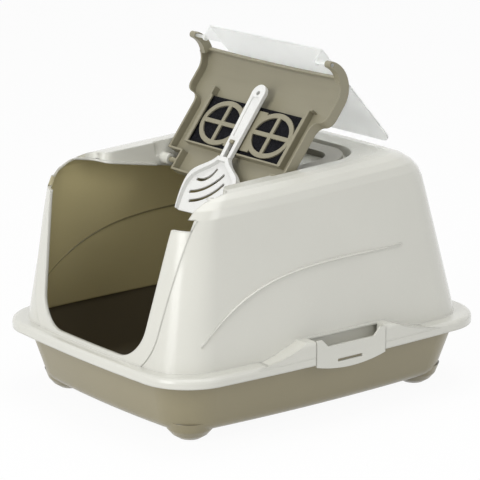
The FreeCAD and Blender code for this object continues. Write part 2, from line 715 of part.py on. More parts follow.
def bend_point(x, depth, angle, crown):
    """Point of the lid's bent front, below its outer face; the crown counts in the lid's middle."""
    reach = size("lid_bend_radius") - depth
    middle = size("lid_bend_radius") - size("lid_rise") - crown
    return Vector(x, size("lid_bend") + reach * math.sin(angle), middle - reach * math.cos(angle))


def crowned(outline):
    """Solid swept by an outline in the lid's middle plane, sideways along the lid's crown."""
    crown = size("lid_crown")
    radius = (size("lid_wide") ** 2 + crown ** 2) / (2 * crown)
    middle = Vector(0, 0, radius - size("lid_rise") - crown)
    swing = math.degrees(1.1 * size("lid_wide") / radius)
    face = Part.Face(Part.Wire(outline))
    face.rotate(middle, Y_AXIS, -swing)
    return face.revolve(middle, Y_AXIS, 2 * swing)


def lid_layer(near, far):
    """Crowned solid between two depths below the lid's outer face, bent over at the front."""
    crown = size("lid_crown")
    turn = radians("lid_bend_angle")
    level = -size("lid_rise") - crown
    rear = -size("tab_reach")

    def bent(depth, share):
        return bend_point(0, depth, share * turn, crown)

    return crowned([
        line(Vector(0, rear, level + near), bent(near, 0)), arc(bent(near, 0), bent(near, 0.5), bent(near, 1)),
        line(bent(near, 1), bent(far, 1)), arc(bent(far, 1), bent(far, 0.5), bent(far, 0)),
        line(bent(far, 0), Vector(0, rear, level + far)),
        line(Vector(0, rear, level + far), Vector(0, rear, level + near))])


def lid_footprint(inset, deep):
    """Upright solid over the lid's own plan: the flared panel and its rear tab."""
    panel = lid_prism(-inset, size("lid_rear") + inset, FAR, -deep, deep)
    tab = block(
        Vector(-size("tab_half") + inset, -size("tab_reach") + inset, -deep),
        Vector(size("tab_half") - inset, size("lid_rear") + 2 * inset + 1, deep))
    return panel.fuse(tab)


def lid_rails():
    """Side rails with inward lips, and the ledge that carries the filter's lower edge."""
    gap = size("seat_gap")
    face = -size("lid_rise") - size("lid_crown")
    web = size("filter_half") + gap
    top = size("rail_top")
    low = size("filter_low") - gap
    end = size("filter_low") + size("filter_length")
    width = size("rail_width")
    rail = block(Vector(web, low, face), Vector(web + width, end + size("rail_tip"), top + width))
    lip = block(Vector(web - size("rail_lip"), low, top), Vector(web, end, top + width))
    tip = block(
        Vector(web, end + size("rail_tip") - width, face),
        Vector(web + 3 * width, end + size("rail_tip"), top + width))
    ledge = block(Vector(-web - width, low - width, face), Vector(web + width, low, top + width))
    rails = both_sides(rail.fuse([lip, tip])).fuse(ledge)
    return rails.common(lid_layer(0.5 * size("wall"), size("lid_bend_radius") - 1))


def lid_ears():
    """Ears that carry on the lid's bent sides, with bores for the flap's pins."""
    outer = size("lid_wide")
    start = outer - size("ear_width")
    axis = Vector(start, size("ear_reach"), size("ear_drop"))
    middle = bend_point(start, size("lid_bend_radius"), 0, 0)
    last = math.atan2(axis.y - middle.y, middle.z - axis.z)
    first = math.radians(size("lid_bend_angle") - size("ear_overlap"))
    axis_depth = size("lid_bend_radius") - (axis - middle).Length
    tip_near = axis_depth - size("ear_radius")
    tip_far = axis_depth + size("ear_radius")

    def bent(depth, share):
        return bend_point(start, depth, first + share * (last - first), 0)

    root_depth = size("lid_rim")
    ear = prism([
        arc(bent(0, 0), bent(0.5 * tip_near, 0.5), bent(tip_near, 1)),
        line(bent(tip_near, 1), bent(tip_far, 1)),
        arc(bent(tip_far, 1), bent(0.5 * (tip_far + root_depth), 0.5), bent(root_depth, 0)),
        line(bent(root_depth, 0), bent(0, 0))], Vector(size("ear_width"), 0, 0))
    ear = ear.fuse(Part.makeCylinder(size("ear_radius"), size("ear_width"), axis, X_AXIS))
    bore = Part.makeCylinder(size("flap_pin") + size("pin_gap"), size("ear_width"), axis, X_AXIS)
    return both_sides(ear), both_sides(bore)


def lid_lip():
    """Small inward lip along the lid's front edge."""
    crown = size("lid_crown")
    turn = radians("lid_bend_angle")
    start = turn - size("wall") / size("lid_bend_radius")
    near = 0.5 * size("wall")
    far = size("wall") + size("lip_depth")
    corners = [bend_point(0, depth, angle, crown)
               for depth, angle in ((near, start), (near, turn), (far, turn), (far, start))]
    width = size("lid_wide") - 0.5 * size("wall")
    return crowned(polygon(corners)).common(block(Vector(-width, 0, -FAR), Vector(width, FAR, FAR)))


def lid_vents():
    """Slots through the lid behind the two windows of the filter holder."""
    middle = size("filter_low") + 0.5 * size("filter_length")
    outside = -size("lid_rise") - size("lid_crown") - 1
    slots = []
    for place in (-2, -1, 0, 1, 2):
        low = middle + place * size("vent_step") - 0.5 * size("vent_width")
        slots.append(block(
            Vector(size("window_x") - size("vent_half"), low, outside),
            Vector(size("window_x") + size("vent_half"), low + size("vent_width"), size("lid_face"))))
    return both_sides(slots[0].fuse(slots[1:]))


def make_lid():
    """Crowned roof panel with a down-turned edge, a rear tab on hinge pins, ears and filter rails."""
    wall = size("wall")
    deep = size("lid_rim") + 2 * wall
    panel = lid_layer(0, size("lid_rim")).common(lid_footprint(0, FAR))
    hollow = lid_layer(wall, deep).common(lid_footprint(wall, FAR))
    front = lid_layer(wall, deep)
    front = front.fuse(placed(front, Placement(Vector(0, 2 * wall, wall), Rotation())))
    half = size("lid_wide") - wall
    front = front.common(block(Vector(-half, size("lid_bend"), -FAR), Vector(half, FAR, FAR)))
    pin_start = size("tab_half") - wall
    pin = Part.makeCylinder(
        size("hinge_pin"), size("lid_narrow") - 2 - pin_start, Vector(pin_start, 0, 0), X_AXIS)
    ears, ear_bores = lid_ears()
    lid = panel.cut([hollow, front, lid_vents()])
    lid = lid.fuse([lid_rails(), lid_lip(), ears, both_sides(pin)])
    return lid.cut(ear_bores)


def scoop_outline(inset, below):
    """Plan of the scoop's head: round shoulders under the neck, then nearly straight to the edge."""
    neck = -size("scoop_slot")
    edge = neck - size("scoop_head") - below
    half = size("scoop_head_half") - inset
    edge_half = size("scoop_edge_half") - inset
    neck_half = size("scoop_neck_half") - 0.6 * inset
    top = neck - 1.5 * inset
    head = size("scoop_head")
    sides = {}
    for side in SIDES:
        sides[side] = smooth_edge([
            Vector(side * neck_half, top, 0), Vector(side * 0.6 * half, top - 0.19 * head, 0),
            Vector(side * 0.95 * half, top - 0.36 * head, 0), Vector(side * half, top - 0.55 * head, 0),
            Vector(side * edge_half, edge, 0)])
    return [
        sides[1], line(Vector(edge_half, edge, 0), Vector(-edge_half, edge, 0)), sides[-1],
        line(Vector(-neck_half, top, 0), Vector(neck_half, top, 0))]


def tapered(inset, low, high):
    """Plan of the scoop's handle between two places along it, wider towards its end."""
    neck = -size("scoop_slot")
    growth = (size("scoop_handle_half") - size("scoop_neck_half")) / (size("scoop_handle") - neck)
    low_half, high_half = [size("scoop_neck_half") + growth * (place - neck) - inset for place in (low, high)]
    return polygon([
        Vector(-low_half, low, 0), Vector(low_half, low, 0), Vector(high_half, high, 0),
        Vector(-high_half, high, 0)])


def curved_slit(place, half):
    """One slanted, bowed slit through the scoop's floor, at a place across the row of slits."""
    width = size("slit_width")
    sag = size("slit_sag")

    def bowed(shift):
        return [Vector(-half, shift, 0), Vector(0, shift - sag, 0), Vector(half, shift, 0)]

    def end(side):
        return arc(
            Vector(side * half, 0, 0), Vector(side * (half + 0.5 * width), 0.5 * width, 0),
            Vector(side * half, width, 0))

    slit = prism([arc(*bowed(0)), end(1), arc(*bowed(width)), end(-1)], Vector(0, 0, FAR / 4))
    turn = Rotation(Z_AXIS, size("slit_turn"))
    middle = Vector(-size("slit_side"), -size("scoop_slot") - size("slit_down"), -1)
    return placed(slit, Placement(middle + turn.multVec(Vector(0, place, 0)), turn))


def make_scoop():
    """Slotted scoop with a slot in its neck; its frame has the hook at the origin, Y up its handle."""
    thick = size("scoop_thick")
    reach = size("scoop_handle") - size("scoop_handle_half")
    neck = -size("scoop_slot")
    upward = Vector(0, 0, thick)
    handle = prism(tapered(0, neck - 1, reach), upward)
    handle = handle.fuse(Part.makeCylinder(size("scoop_handle_half"), thick, Vector(0, reach, 0)))
    head = prism(scoop_outline(0, 0), Vector(0, 0, thick + size("scoop_rim")))
    hollow = prism(scoop_outline(size("scoop_border"), 10), 2 * upward)
    hollow = placed(hollow, Placement(Vector(0, 0, size("scoop_floor")), Rotation()))
    slot_half = size("hook_half") + size("swing_gap")
    slot = block(Vector(-slot_half, neck, -1), Vector(slot_half, 0, thick + 1))
    groove = prism(tapered(size("scoop_wall"), size("scoop_wall"), reach - 2 * size("scoop_hole")), upward)
    groove = placed(groove, Placement(Vector(0, 0, thick - size("scoop_groove")), Rotation()))
    hole = Part.makeCylinder(size("scoop_hole"), 3 * thick, Vector(0, reach, -thick))
    step = size("slit_step")
    slits = [curved_slit(step, size("slit_short")), curved_slit(0, size("slit_half")),
             curved_slit(-step, size("slit_half"))]
    return handle.fuse(head).cut([hollow, slot, groove, hole] + slits)


def scoop_placement():
    """The scoop hangs from the hook with the upper end of its slot, clear of the filter's ledge."""
    level = size("rail_top") + size("rail_width") + size("seat_gap")
    hang = Placement(
        Vector(0, size("hook_place") + 0.5 * size("hook_depth") + size("seat_gap"), level),
        Rotation(Z_AXIS, size("scoop_tilt")))
    return open_lid().multiply(hang)


def feature(label, shape, placement=None):
    """A moulded piece whose form is built by the functions above."""
    item = doc.addObject("Part::Feature", label)
    item.Label = label
    item.Shape = shape
    if placement is not None:
        item.Placement = placement.multiply(item.Placement)
    return item


def new_body(label):
    body = doc.addObject("PartDesign::Body", label)
    body.Label = label
    return body


def plane_of(body, role):
    return next(item for item in body.Origin.OriginFeatures if item.Role == role)


def new_sketch(body, name, role, height=None):
    """Sketch on one of the body's planes, lifted by an expression."""
    sketch = body.newObject("Sketcher::SketchObject", name)
    sketch.AttachmentSupport = [(plane_of(body, role), "")]
    sketch.MapMode = "FlatFace"
    if height is not None:
        sketch.setExpression("AttachmentOffset.Base.z", bound(height))
    return sketch


def tie(sketch, kind, arguments, expression):
    """Dimension in a sketch, bound to the sheet."""
    index = sketch.addConstraint(Sketcher.Constraint(kind, *arguments, value_of(expression)))
    sketch.setExpression(f"Constraints[{index}]", bound(expression))


def pin_down(sketch, geometry, corner, place):
    """Hold one point of a sketch at a place given by two expressions."""
    tie(sketch, "DistanceX", (-1, 1, geometry, corner), place[0])
    tie(sketch, "DistanceY", (-1, 1, geometry, corner), place[1])


def draw_polygon(sketch, places):
    """Closed polygon in a sketch, each corner bound by two expressions."""
    points = [Vector(value_of(x), value_of(y), 0) for x, y in places]
    lines = [
        sketch.addGeometry(Part.LineSegment(a, b), False) for a, b in zip(points, points[1:] + points[:1])]
    for this, following in zip(lines, lines[1:] + lines[:1]):
        sketch.addConstraint(Sketcher.Constraint("Coincident", this, 2, following, 1))
    for index, place in zip(lines, places):
        pin_down(sketch, index, 1, place)


def draw_rectangle(sketch, low, high):
    """Rectangle in a sketch between two corners given by expressions."""
    draw_polygon(sketch, [(low[0], low[1]), (high[0], low[1]), (high[0], high[1]), (low[0], high[1])])


def draw_ellipse(sketch, middle, half_x, half_y):
    """Ellipse in a sketch, wider along X, bound by its middle and its two half axes."""
    centre = Vector(value_of(middle[0]), value_of(middle[1]), 0)
    wide = centre + Vector(value_of(half_x), 0, 0)
    tall = centre + Vector(0, value_of(half_y), 0)
    index = sketch.addGeometry(Part.Ellipse(wide, tall, centre), False)
    sketch.exposeInternalGeometry(index)
    pin_down(sketch, index, 3, middle)
    major = index + 1
    minor = index + 2
    sketch.addConstraint(Sketcher.Constraint("Horizontal", major))
    tie(sketch, "Distance", (major,), f"2 * ({half_x})")
    tie(sketch, "Distance", (minor,), f"2 * ({half_y})")


def add_pad(body, sketch, name, length, reverse=False):
    pad = body.newObject("PartDesign::Pad", name)
    pad.Profile = sketch
    pad.setExpression("Length", bound(length))
    pad.Reversed = reverse
    doc.recompute()
    return pad


def add_pocket(body, sketch, name):
    """Cut right through, both ways."""
    before = body.Shape.Volume
    pocket = body.newObject("PartDesign::Pocket", name)
    pocket.Profile = sketch
    pocket.Type = "ThroughAll"
    pocket.Midplane = True
    doc.recompute()
    assert body.Shape.Volume < before, f"{name} cuts nothing"
    return pocket


def round_edges(body, base, name, radius, wanted):
    """Fillet on the edges of the body's last feature that a test picks."""
    edges = [f"Edge{i}" for i, edge in enumerate(base.Shape.Edges, start=1) if wanted(edge)]
    assert edges, f"{name} finds no edge"
    fillet = body.newObject("PartDesign::Fillet", name)
    fillet.Base = (base, edges)
    fillet.setExpression("Radius", bound(radius))
    doc.recompute()
    return fillet


def upright(edge):
    """True for a straight edge along Z."""
    box = edge.BoundBox
    return box.ZLength > 0.5 and box.XLength < 1e-4 and box.YLength < 1e-4


def add_pins(body, name, start, length, radius, axis_place):
    """A pair of pins along X on a body, one on each side; places are expressions."""
    for side, sign in (("right", ""), ("left", "-")):
        pin = body.newObject("PartDesign::AdditiveCylinder", f"{name}_{side}")
        turn = 90 if side == "right" else -90
        pin.AttachmentOffset = Placement(Vector(), Rotation(Y_AXIS, turn))
        pin.AttachmentSupport = [(plane_of(body, "XY_Plane"), "")]
        pin.MapMode = "FlatFace"
        pin.setExpression("AttachmentOffset.Base.x", bound(f"{sign}1 * ({start})"))
        pin.setExpression("AttachmentOffset.Base.y", bound(axis_place[0]))
        pin.setExpression("AttachmentOffset.Base.z", bound(axis_place[1]))
        pin.setExpression("Radius", bound(radius))
        pin.setExpression("Height", bound(length))
        doc.recompute()


def make_carbon_filter():
    """Flat pad behind the holder, in the lid's frame."""
    body = new_body("carbon_filter")
    sketch = new_sketch(body, "filter_outline", "XY_Plane", "lid_face + seat_gap")
    draw_rectangle(sketch, ("-1 * filter_half", "filter_low"), ("filter_half", "filter_low + filter_length"))
    add_pad(body, sketch, "filter_pad", "filter_thick")
    body.Placement = open_lid()
    return body


def make_filter_holder():
    """Plate with two barred windows and the hook for the scoop, in the lid's frame."""
    body = new_body("filter_holder")
    level = "holder_level"
    middle = "(filter_low + 0.5 * filter_length)"
    bridge = new_sketch(body, "bridge_outline", "XY_Plane", level)
    draw_rectangle(
        bridge, ("-bridge_half", f"{middle} - 0.5 * bridge_length"),
        ("bridge_half", f"{middle} + 0.5 * bridge_length"))
    add_pad(body, bridge, "bridge", "holder_thick")
    for side, sign in (("right", ""), ("left", "-")):
        ring = new_sketch(body, f"ring_{side}_outline", "XY_Plane", level)
        draw_ellipse(
            ring, (f"{sign}1 * window_x", middle), "window_half_width + window_ring",
            "window_half_length + window_ring")
        add_pad(body, ring, f"ring_{side}", "holder_thick")
    for side, sign in (("right", ""), ("left", "-")):
        window = new_sketch(body, f"window_{side}_outline", "XY_Plane", level)
        draw_ellipse(
            window, (f"{sign}1 * window_x", middle), "window_half_width", "window_half_length")
        add_pocket(body, window, f"window_{side}")
        bars = new_sketch(body, f"bars_{side}_outline", "XY_Plane", level)
        draw_rectangle(
            bars, (f"{sign}1 * window_x - 0.5 * window_bar", f"{middle} - window_half_length - 1"),
            (f"{sign}1 * window_x + 0.5 * window_bar", f"{middle} + window_half_length + 1"))
        add_pad(body, bars, f"upright_bar_{side}", "holder_thick")
        bars = new_sketch(body, f"cross_bar_{side}_outline", "XY_Plane", level)
        draw_rectangle(
            bars, (f"{sign}1 * window_x - window_half_width - 1", f"{middle} - 0.5 * window_bar"),
            (f"{sign}1 * window_x + window_half_width + 1", f"{middle} + 0.5 * window_bar"))
        add_pad(body, bars, f"cross_bar_{side}", "holder_thick")
    hook = new_sketch(body, "hook_outline", "XY_Plane", level)
    draw_rectangle(
        hook, ("-hook_half", "hook_place - 0.5 * hook_depth"), ("hook_half", "hook_place + 0.5 * hook_depth"))
    add_pad(body, hook, "hook", "holder_thick + hook_tall")
    body.Placement = open_lid()
    return body


def make_flap():
    """Frosted sheet on two arms with pins; its frame has the axis at the origin, -Y down the flap."""
    body = new_body("flap")
    sketch = new_sketch(body, "flap_outline", "XY_Plane", "-flap_offset - 0.5 * flap_sheet")
    draw_rectangle(sketch, ("-1 * flap_half", "-1 * flap_length"), ("flap_half", "flap_strip"))
    sheet_pad = add_pad(body, sketch, "flap_panel", "flap_sheet")
    round_edges(
        body, sheet_pad, "flap_corners", "flap_corner",
        lambda edge: upright(edge) and edge.BoundBox.YMax < 0)
    for side, place in (("right", "flap_half - flap_arm"), ("left", "-1 * flap_half")):
        arm = new_sketch(body, f"flap_arm_{side}_outline", "YZ_Plane", place)
        draw_polygon(arm, [
            ("flap_strip", "-1 * flap_offset"), ("flap_knuckle", "0"), ("-1 * flap_knuckle", "0"),
            ("-1 * flap_arm_drop", "-1 * flap_offset")])
        add_pad(body, arm, f"flap_arm_{side}", "flap_arm")
    add_pins(body, "flap_knuckle", "flap_half - flap_arm", "flap_arm", "flap_knuckle", ("0", "0"))
    add_pins(body, "flap_pin", "flap_half - 1", "lid_wide - flap_half + 1", "flap_pin", ("0", "0"))
    axis = open_lid().multVec(Vector(0, size("ear_reach"), size("ear_drop")))
    body.Placement = Placement(axis, Rotation(X_AXIS, 180 - size("flap_lean")))
    return body


def make_carry_handle():
    """Bow that lies in the roof recess; its frame has the pins' axis at the origin."""
    body = new_body("carry_handle")
    sketch = new_sketch(body, "bow_outline", "XY_Plane", "-0.5 * handle_thick")
    front_end = "-0.5 * handle_thick"
    inner_x = "(handle_half - handle_bar)"
    inner_rear = "handle_reach - handle_bar"
    draw_polygon(sketch, [
        ("-1 * handle_half", front_end), (f"-1 * {inner_x}", front_end), (f"-1 * {inner_x}", inner_rear),
        (inner_x, inner_rear), (inner_x, front_end), ("handle_half", front_end),
        ("handle_half", "handle_reach"), ("-1 * handle_half", "handle_reach")])
    pad = add_pad(body, sketch, "bow", "handle_thick")
    outer_y = size("handle_reach")
    inner_y = outer_y - size("handle_bar")
    outer = round_edges(
        body, pad, "outer_corners", "handle_corner",
        lambda edge: upright(edge) and abs(edge.BoundBox.YMin - outer_y) < 0.01)
    inner = round_edges(
        body, outer, "inner_corners", "handle_corner - handle_bar",
        lambda edge: upright(edge) and abs(edge.BoundBox.YMin - inner_y) < 0.01)
    front = -0.5 * size("handle_thick")
    round_edges(
        body, inner, "arm_ends", "0.49 * handle_thick",
        lambda edge: abs(edge.BoundBox.YMin - front) < 0.01 and abs(edge.BoundBox.YMax - front) < 0.01
        and edge.BoundBox.XLength > 1)
    add_pins(body, "handle_pin", "handle_half - 1", "handle_lug - 2", "handle_pin", ("0", "0"))
    body.Placement = handle_placement()
    return body


def make_side_clip(label, side):
    """Latch in the flange; its frame has the pins' axis at the origin and +X outwards."""
    sheet_out = size("clip_axis_inset")
    sheet_in = sheet_out - size("clip_sheet")
    front = -size("clip_front")
    rear = size("clip_rear")
    low = size("clip_low") - size("clip_axis")
    top = size("clip_top") - size("clip_axis")
    dip = top - size("clip_dip")
    ear = size("clip_ear")

    def at(y, z):
        return Vector(sheet_in, y, z)

    corners = [
        at(front, low), at(front, top), at(front + 0.45 * ear, top), at(front + ear, dip),
        at(rear - ear, dip), at(rear - 0.45 * ear, top), at(rear, top), at(rear, low)]
    belly = at(0.5 * (front + rear) - size("clip_belly"), low - size("clip_belly"))
    edge = [line(a, b) for a, b in zip(corners, corners[1:])]
    edge.append(arc(corners[-1], belly, corners[0]))
    clip = prism(edge, Vector(size("clip_sheet"), 0, 0))
    slot_z = size("clip_slot_z") - size("clip_axis")
    slot_half = 0.5 * size("clip_slot_width")
    clip = clip.cut(block(
        Vector(0, -size("clip_slot_front"), slot_z - slot_half),
        Vector(2 * sheet_out, size("clip_slot_rear"), slot_z + slot_half)))
    pin = size("clip_pin")
    for start, outward in ((front, -1), (rear, 1)):
        cheek_from = min(start, start - outward * size("clip_cheek"))
        plate = Part.makeCylinder(
            2.2 * pin, size("clip_cheek"), Vector(0, cheek_from, 0), Y_AXIS)
        plate = plate.fuse(block(
            Vector(0, cheek_from, -2.2 * pin),
            Vector(sheet_in + 0.5, cheek_from + size("clip_cheek"), 2.2 * pin)))
        reach = size("swing_gap") + size("cheek_wall") - 1
        pin_from = start if outward > 0 else start - reach
        clip = clip.fuse([plate, Part.makeCylinder(pin, reach, Vector(0, pin_from, 0), Y_AXIS)])
    tray_lip_under = shelf_under() - size("seat_gap") - size("tray_wall")
    hook_top = tray_lip_under - size("swing_gap") - size("clip_axis")
    tray_lip_edge = size("flange_half_width") - size("tray_lip_inset") - clip_axis_x()
    hook = block(
        Vector(tray_lip_edge - size("tray_lip_inset"), front + ear, hook_top - size("clip_sheet")),
        Vector(sheet_in + 0.5, rear - ear, hook_top))
    clip = clip.fuse(hook).removeSplitter()
    if side < 0:
        clip = mirrored(clip)
    return feature(label, clip, Placement(Vector(side * clip_axis_x(), 0, size("clip_axis")), Rotation()))


pieces = [
    feature("tray", make_tray()),
    feature("hood", make_hood()),
    feature("lid", make_lid(), open_lid()),
    make_flap(),
    make_carbon_filter(),
    make_filter_holder(),
    feature("scoop", make_scoop(), scoop_placement()),
    make_carry_handle(),
    make_side_clip("side_clip_right", 1),
    make_side_clip("side_clip_left", -1),
]
doc.recompute()

for item in doc.Objects:
    broken = [state for state in item.State if state in ("Invalid", "Error")]
    assert not broken, f"{item.Label} failed: {broken}"

for piece in pieces:
    assert not piece.Shape.isNull(), f"{piece.Label} is empty"
    assert piece.Shape.isValid(), f"{piece.Label} is not valid"

os.makedirs("parts", exist_ok=True)
for piece in pieces:
    piece.Shape.exportStep(f"parts/{piece.Label}.step")
    box = piece.Shape.BoundBox
    print(
        f"{piece.Label}: {len(piece.Shape.Solids)} solid, {piece.Shape.Volume / 1000:.1f} cm3, "
        f"x {box.XMin:.1f} {box.XMax:.1f} y {box.YMin:.1f} {box.YMax:.1f} z {box.ZMin:.1f} {box.ZMax:.1f}")
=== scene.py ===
"""Looks of the covered litter box: moulded plastics, frosted flap, foam filter and studio light."""

import bpy
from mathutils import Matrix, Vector


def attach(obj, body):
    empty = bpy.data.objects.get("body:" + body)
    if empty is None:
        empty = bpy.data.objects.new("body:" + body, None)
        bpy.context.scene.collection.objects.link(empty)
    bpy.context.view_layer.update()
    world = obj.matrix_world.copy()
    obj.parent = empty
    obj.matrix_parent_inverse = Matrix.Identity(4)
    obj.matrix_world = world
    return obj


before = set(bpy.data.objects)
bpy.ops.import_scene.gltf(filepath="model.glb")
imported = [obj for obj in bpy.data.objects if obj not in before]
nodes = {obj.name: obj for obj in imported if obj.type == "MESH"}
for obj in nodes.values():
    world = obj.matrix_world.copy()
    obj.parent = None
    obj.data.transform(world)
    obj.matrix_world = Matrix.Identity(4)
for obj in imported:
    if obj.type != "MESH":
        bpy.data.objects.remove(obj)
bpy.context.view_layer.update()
scene = bpy.context.scene

# Base colours, in linear light
OFF_WHITE = (0.610, 0.606, 0.550)
# Painted shade with warm bounce light, for the hood's inner faces
HOOD_INSIDE_PAINTED_SHADE = (0.64, 0.565, 0.31)
TAUPE = (0.258, 0.226, 0.136)
# Painted shade, for the tray's inner faces
TRAY_INSIDE_PAINTED_SHADE = (0.110, 0.092, 0.060)
LID_TAUPE = (0.250, 0.230, 0.160)
WHITE = (0.72, 0.72, 0.70)
HANDLE_GREY = (0.37, 0.36, 0.32)
CHARCOAL = (0.004, 0.004, 0.005)
FROST = (0.95, 0.96, 0.95)
PAPER = (0.86, 0.86, 0.86)
PURE_WHITE = (1.0, 1.0, 1.0)

# Lumps per metre of the procedural patterns
CLOUD_SCALE = 9.0
GRAIN_SCALE = 850.0
FROST_CLOUD_SCALE = 14.0
FROST_SCALE = 1300.0
PORE_SCALE = 420.0

# Depth of the fine grain, depth of the foam's pores and radius of the edges, in metres
GRAIN_DEPTH = 0.0002
PORE_DEPTH = 0.0012
EDGE_RADIUS = 0.0015

# Painted shade inside the box: the point that the inner faces look at, their least distance from it, and the
# width of the change
BOX_MIDDLE = (0.0, 0.0, 0.1)
HOOD_DEPTH = 0.172
TRAY_DEPTH = 0.060
DEPTH_FADE = 0.015

# Moulded line on the hood's sides: its ends along the length and in height, its bend and thickness
LINE_FRONT = Vector((-0.221, 0.1415))
LINE_REAR = Vector((0.132, 0.2255))
LINE_BEND = 4.4
LINE_STEPS = 24
FRONT_TAPER = 6
REAR_TAPER = 4
THINNEST_END = 0.1
INSIDE_LINE = 0.0013
OUTSIDE_LINE = 0.0016
OUTSIDE_START = 0.4

# Camera fitted to the photograph
CAMERA_PLACE = Vector((2.6630, -2.0931, 1.0948))
CAMERA_TARGET = Vector((-0.0023, -0.0029, 0.2131))
CAMERA_LENS = 183.75
SENSOR_WIDTH = 36.0

# Studio: floor, surround and the point that the lamps face
FLOOR_SIZE = 30.0
FLOOR_DROP = 0.0005
FLOOR_GLOW = 0.94
SURROUND_LIGHT = 0.44
LAMP_TARGET = Vector((0.0, 0.0, 0.2))


def shaded(colour, share):
    """A colour made lighter or darker, with alpha."""
    return tuple(min(channel * share, 1.0) for channel in colour) + (1.0,)


def new_material(name):
    material = bpy.data.materials.new(name)
    material.use_nodes = True
    tree = material.node_tree
    return material, tree, tree.nodes["Principled BSDF"]


def add_noise(tree, place, scale, detail):
    """Noise over the object's own coordinates, in lumps per metre."""
    noise = tree.nodes.new("ShaderNodeTexNoise")
    noise.inputs["Scale"].default_value = scale
    noise.inputs["Detail"].default_value = detail
    tree.links.new(place, noise.inputs["Vector"])
    return noise.outputs["Fac"]


def add_range(tree, value, low, high, from_low=0.3, from_high=0.7):
    """Value spread from one range to another. The default suits a noise."""
    spread = tree.nodes.new("ShaderNodeMapRange")
    spread.inputs["From Min"].default_value = from_low
    spread.inputs["From Max"].default_value = from_high
    spread.inputs["To Min"].default_value = low
    spread.inputs["To Max"].default_value = high
    tree.links.new(value, spread.inputs["Value"])
    return spread.outputs["Result"]


def add_mix(tree, share, low, high):
    """Colour between two colours or colour sockets."""
    mix = tree.nodes.new("ShaderNodeMix")
    mix.data_type = "RGBA"
    tree.links.new(share, mix.inputs["Factor"])
    colour_sockets = [socket for socket in mix.inputs if socket.type == "RGBA"]
    for value, socket in zip((low, high), colour_sockets):
        if isinstance(value, tuple):
            socket.default_value = value
        else:
            tree.links.new(value, socket)
    return next(socket for socket in mix.outputs if socket.type == "RGBA")


def add_bump(tree, shader, height, strength, distance):
    bump = tree.nodes.new("ShaderNodeBump")
    bump.inputs["Strength"].default_value = strength
    bump.inputs["Distance"].default_value = distance
    tree.links.new(height, bump.inputs["Height"])
    tree.links.new(bump.outputs["Normal"], shader.inputs["Normal"])
    return bump


def object_place(tree):
    return tree.nodes.new("ShaderNodeTexCoord").outputs["Object"]


def vector_math(tree, operation, first, second):
    """Vector operation on a socket and a socket or constant."""
    node = tree.nodes.new("ShaderNodeVectorMath")
    node.operation = operation
    tree.links.new(first, node.inputs[0])
    if isinstance(second, tuple):
        node.inputs[1].default_value = second
    else:
        tree.links.new(second, node.inputs[1])
    return node


def rounded_normal(tree, radius):
    """Normal that runs smoothly over sharp edges."""
    bevel = tree.nodes.new("ShaderNodeBevel")
    bevel.samples = 4
    bevel.inputs["Radius"].default_value = radius
    return bevel.outputs["Normal"]


def edge_lightening_mask(tree):
    """1 along sharp edges, 0 on flat faces."""
    face = tree.nodes.new("ShaderNodeNewGeometry")
    rounded = rounded_normal(tree, EDGE_RADIUS)
    dot = vector_math(tree, "DOT_PRODUCT", rounded, face.outputs["Normal"])
    return add_range(tree, dot.outputs["Value"], 1.0, 0.0, 0.85, 0.995)


def inside_shade_mask(tree, middle, depth):
    """1 on faces that look towards a middle point from farther than a depth; 0 on the others. It marks where
    painted shade goes inside the box.
    """
    coords = tree.nodes.new("ShaderNodeTexCoord")
    away = vector_math(tree, "SUBTRACT", coords.outputs["Object"], middle)
    facing = vector_math(tree, "DOT_PRODUCT", coords.outputs["Normal"], away.outputs["Vector"])
    return add_range(tree, facing.outputs["Value"], 1.0, 0.0, -depth, DEPTH_FADE - depth)


def moulded_plastic(name, colour, roughness, mottle=0.035, grain_height=0.12, soft=EDGE_RADIUS, coat=0.0,
                    inside_shade=None, depth=0.0):
    """Injection-moulded plastic: faint clouding, fine grain in gloss and surface, lighter edges, and painted
    shade on the inner faces when an inside shade colour is given.
    """
    material, tree, shader = new_material(name)
    place = object_place(tree)
    clouds = add_noise(tree, place, CLOUD_SCALE, 3.0)
    grain = add_noise(tree, place, GRAIN_SCALE, 2.0)
    shade = add_range(tree, clouds, 0.0, 1.0)
    body = add_mix(tree, shade, shaded(colour, 1 - mottle), shaded(colour, 1 + mottle))
    # Lighter along sharp edges
    body = add_mix(tree, edge_lightening_mask(tree), body, shaded(colour, 1.2))
    if inside_shade is not None:
        # Painted shade: inward-facing faces take the inside shade colour
        body = add_mix(tree, inside_shade_mask(tree, BOX_MIDDLE, depth), body, shaded(inside_shade, 1.0))
    gloss = add_range(tree, grain, roughness - 0.05, roughness + 0.06)
    tree.links.new(body, shader.inputs["Base Color"])
    tree.links.new(gloss, shader.inputs["Roughness"])
    shader.inputs["Coat Weight"].default_value = coat
    shader.inputs["Coat Roughness"].default_value = 0.16
    bump = add_bump(tree, shader, grain, grain_height, GRAIN_DEPTH)
    tree.links.new(rounded_normal(tree, soft), bump.inputs["Normal"])
    return material


def frosted_plastic(name, colour):
    """Milky translucent sheet with a fine frosted grain."""
    material, tree, shader = new_material(name)
    place = object_place(tree)
    frost = add_noise(tree, place, FROST_SCALE, 3.0)
    clouds = add_noise(tree, place, FROST_CLOUD_SCALE, 2.0)
    shade = add_range(tree, clouds, 0.0, 1.0)
    tint = add_mix(tree, shade, shaded(colour, 0.96), shaded(colour, 1.03))
    tree.links.new(tint, shader.inputs["Base Color"])
    tree.links.new(add_range(tree, frost, 0.38, 0.52), shader.inputs["Roughness"])
    shader.inputs["Transmission Weight"].default_value = 0.75
    shader.inputs["IOR"].default_value = 1.15
    add_bump(tree, shader, frost, 0.2, GRAIN_DEPTH)
    return material


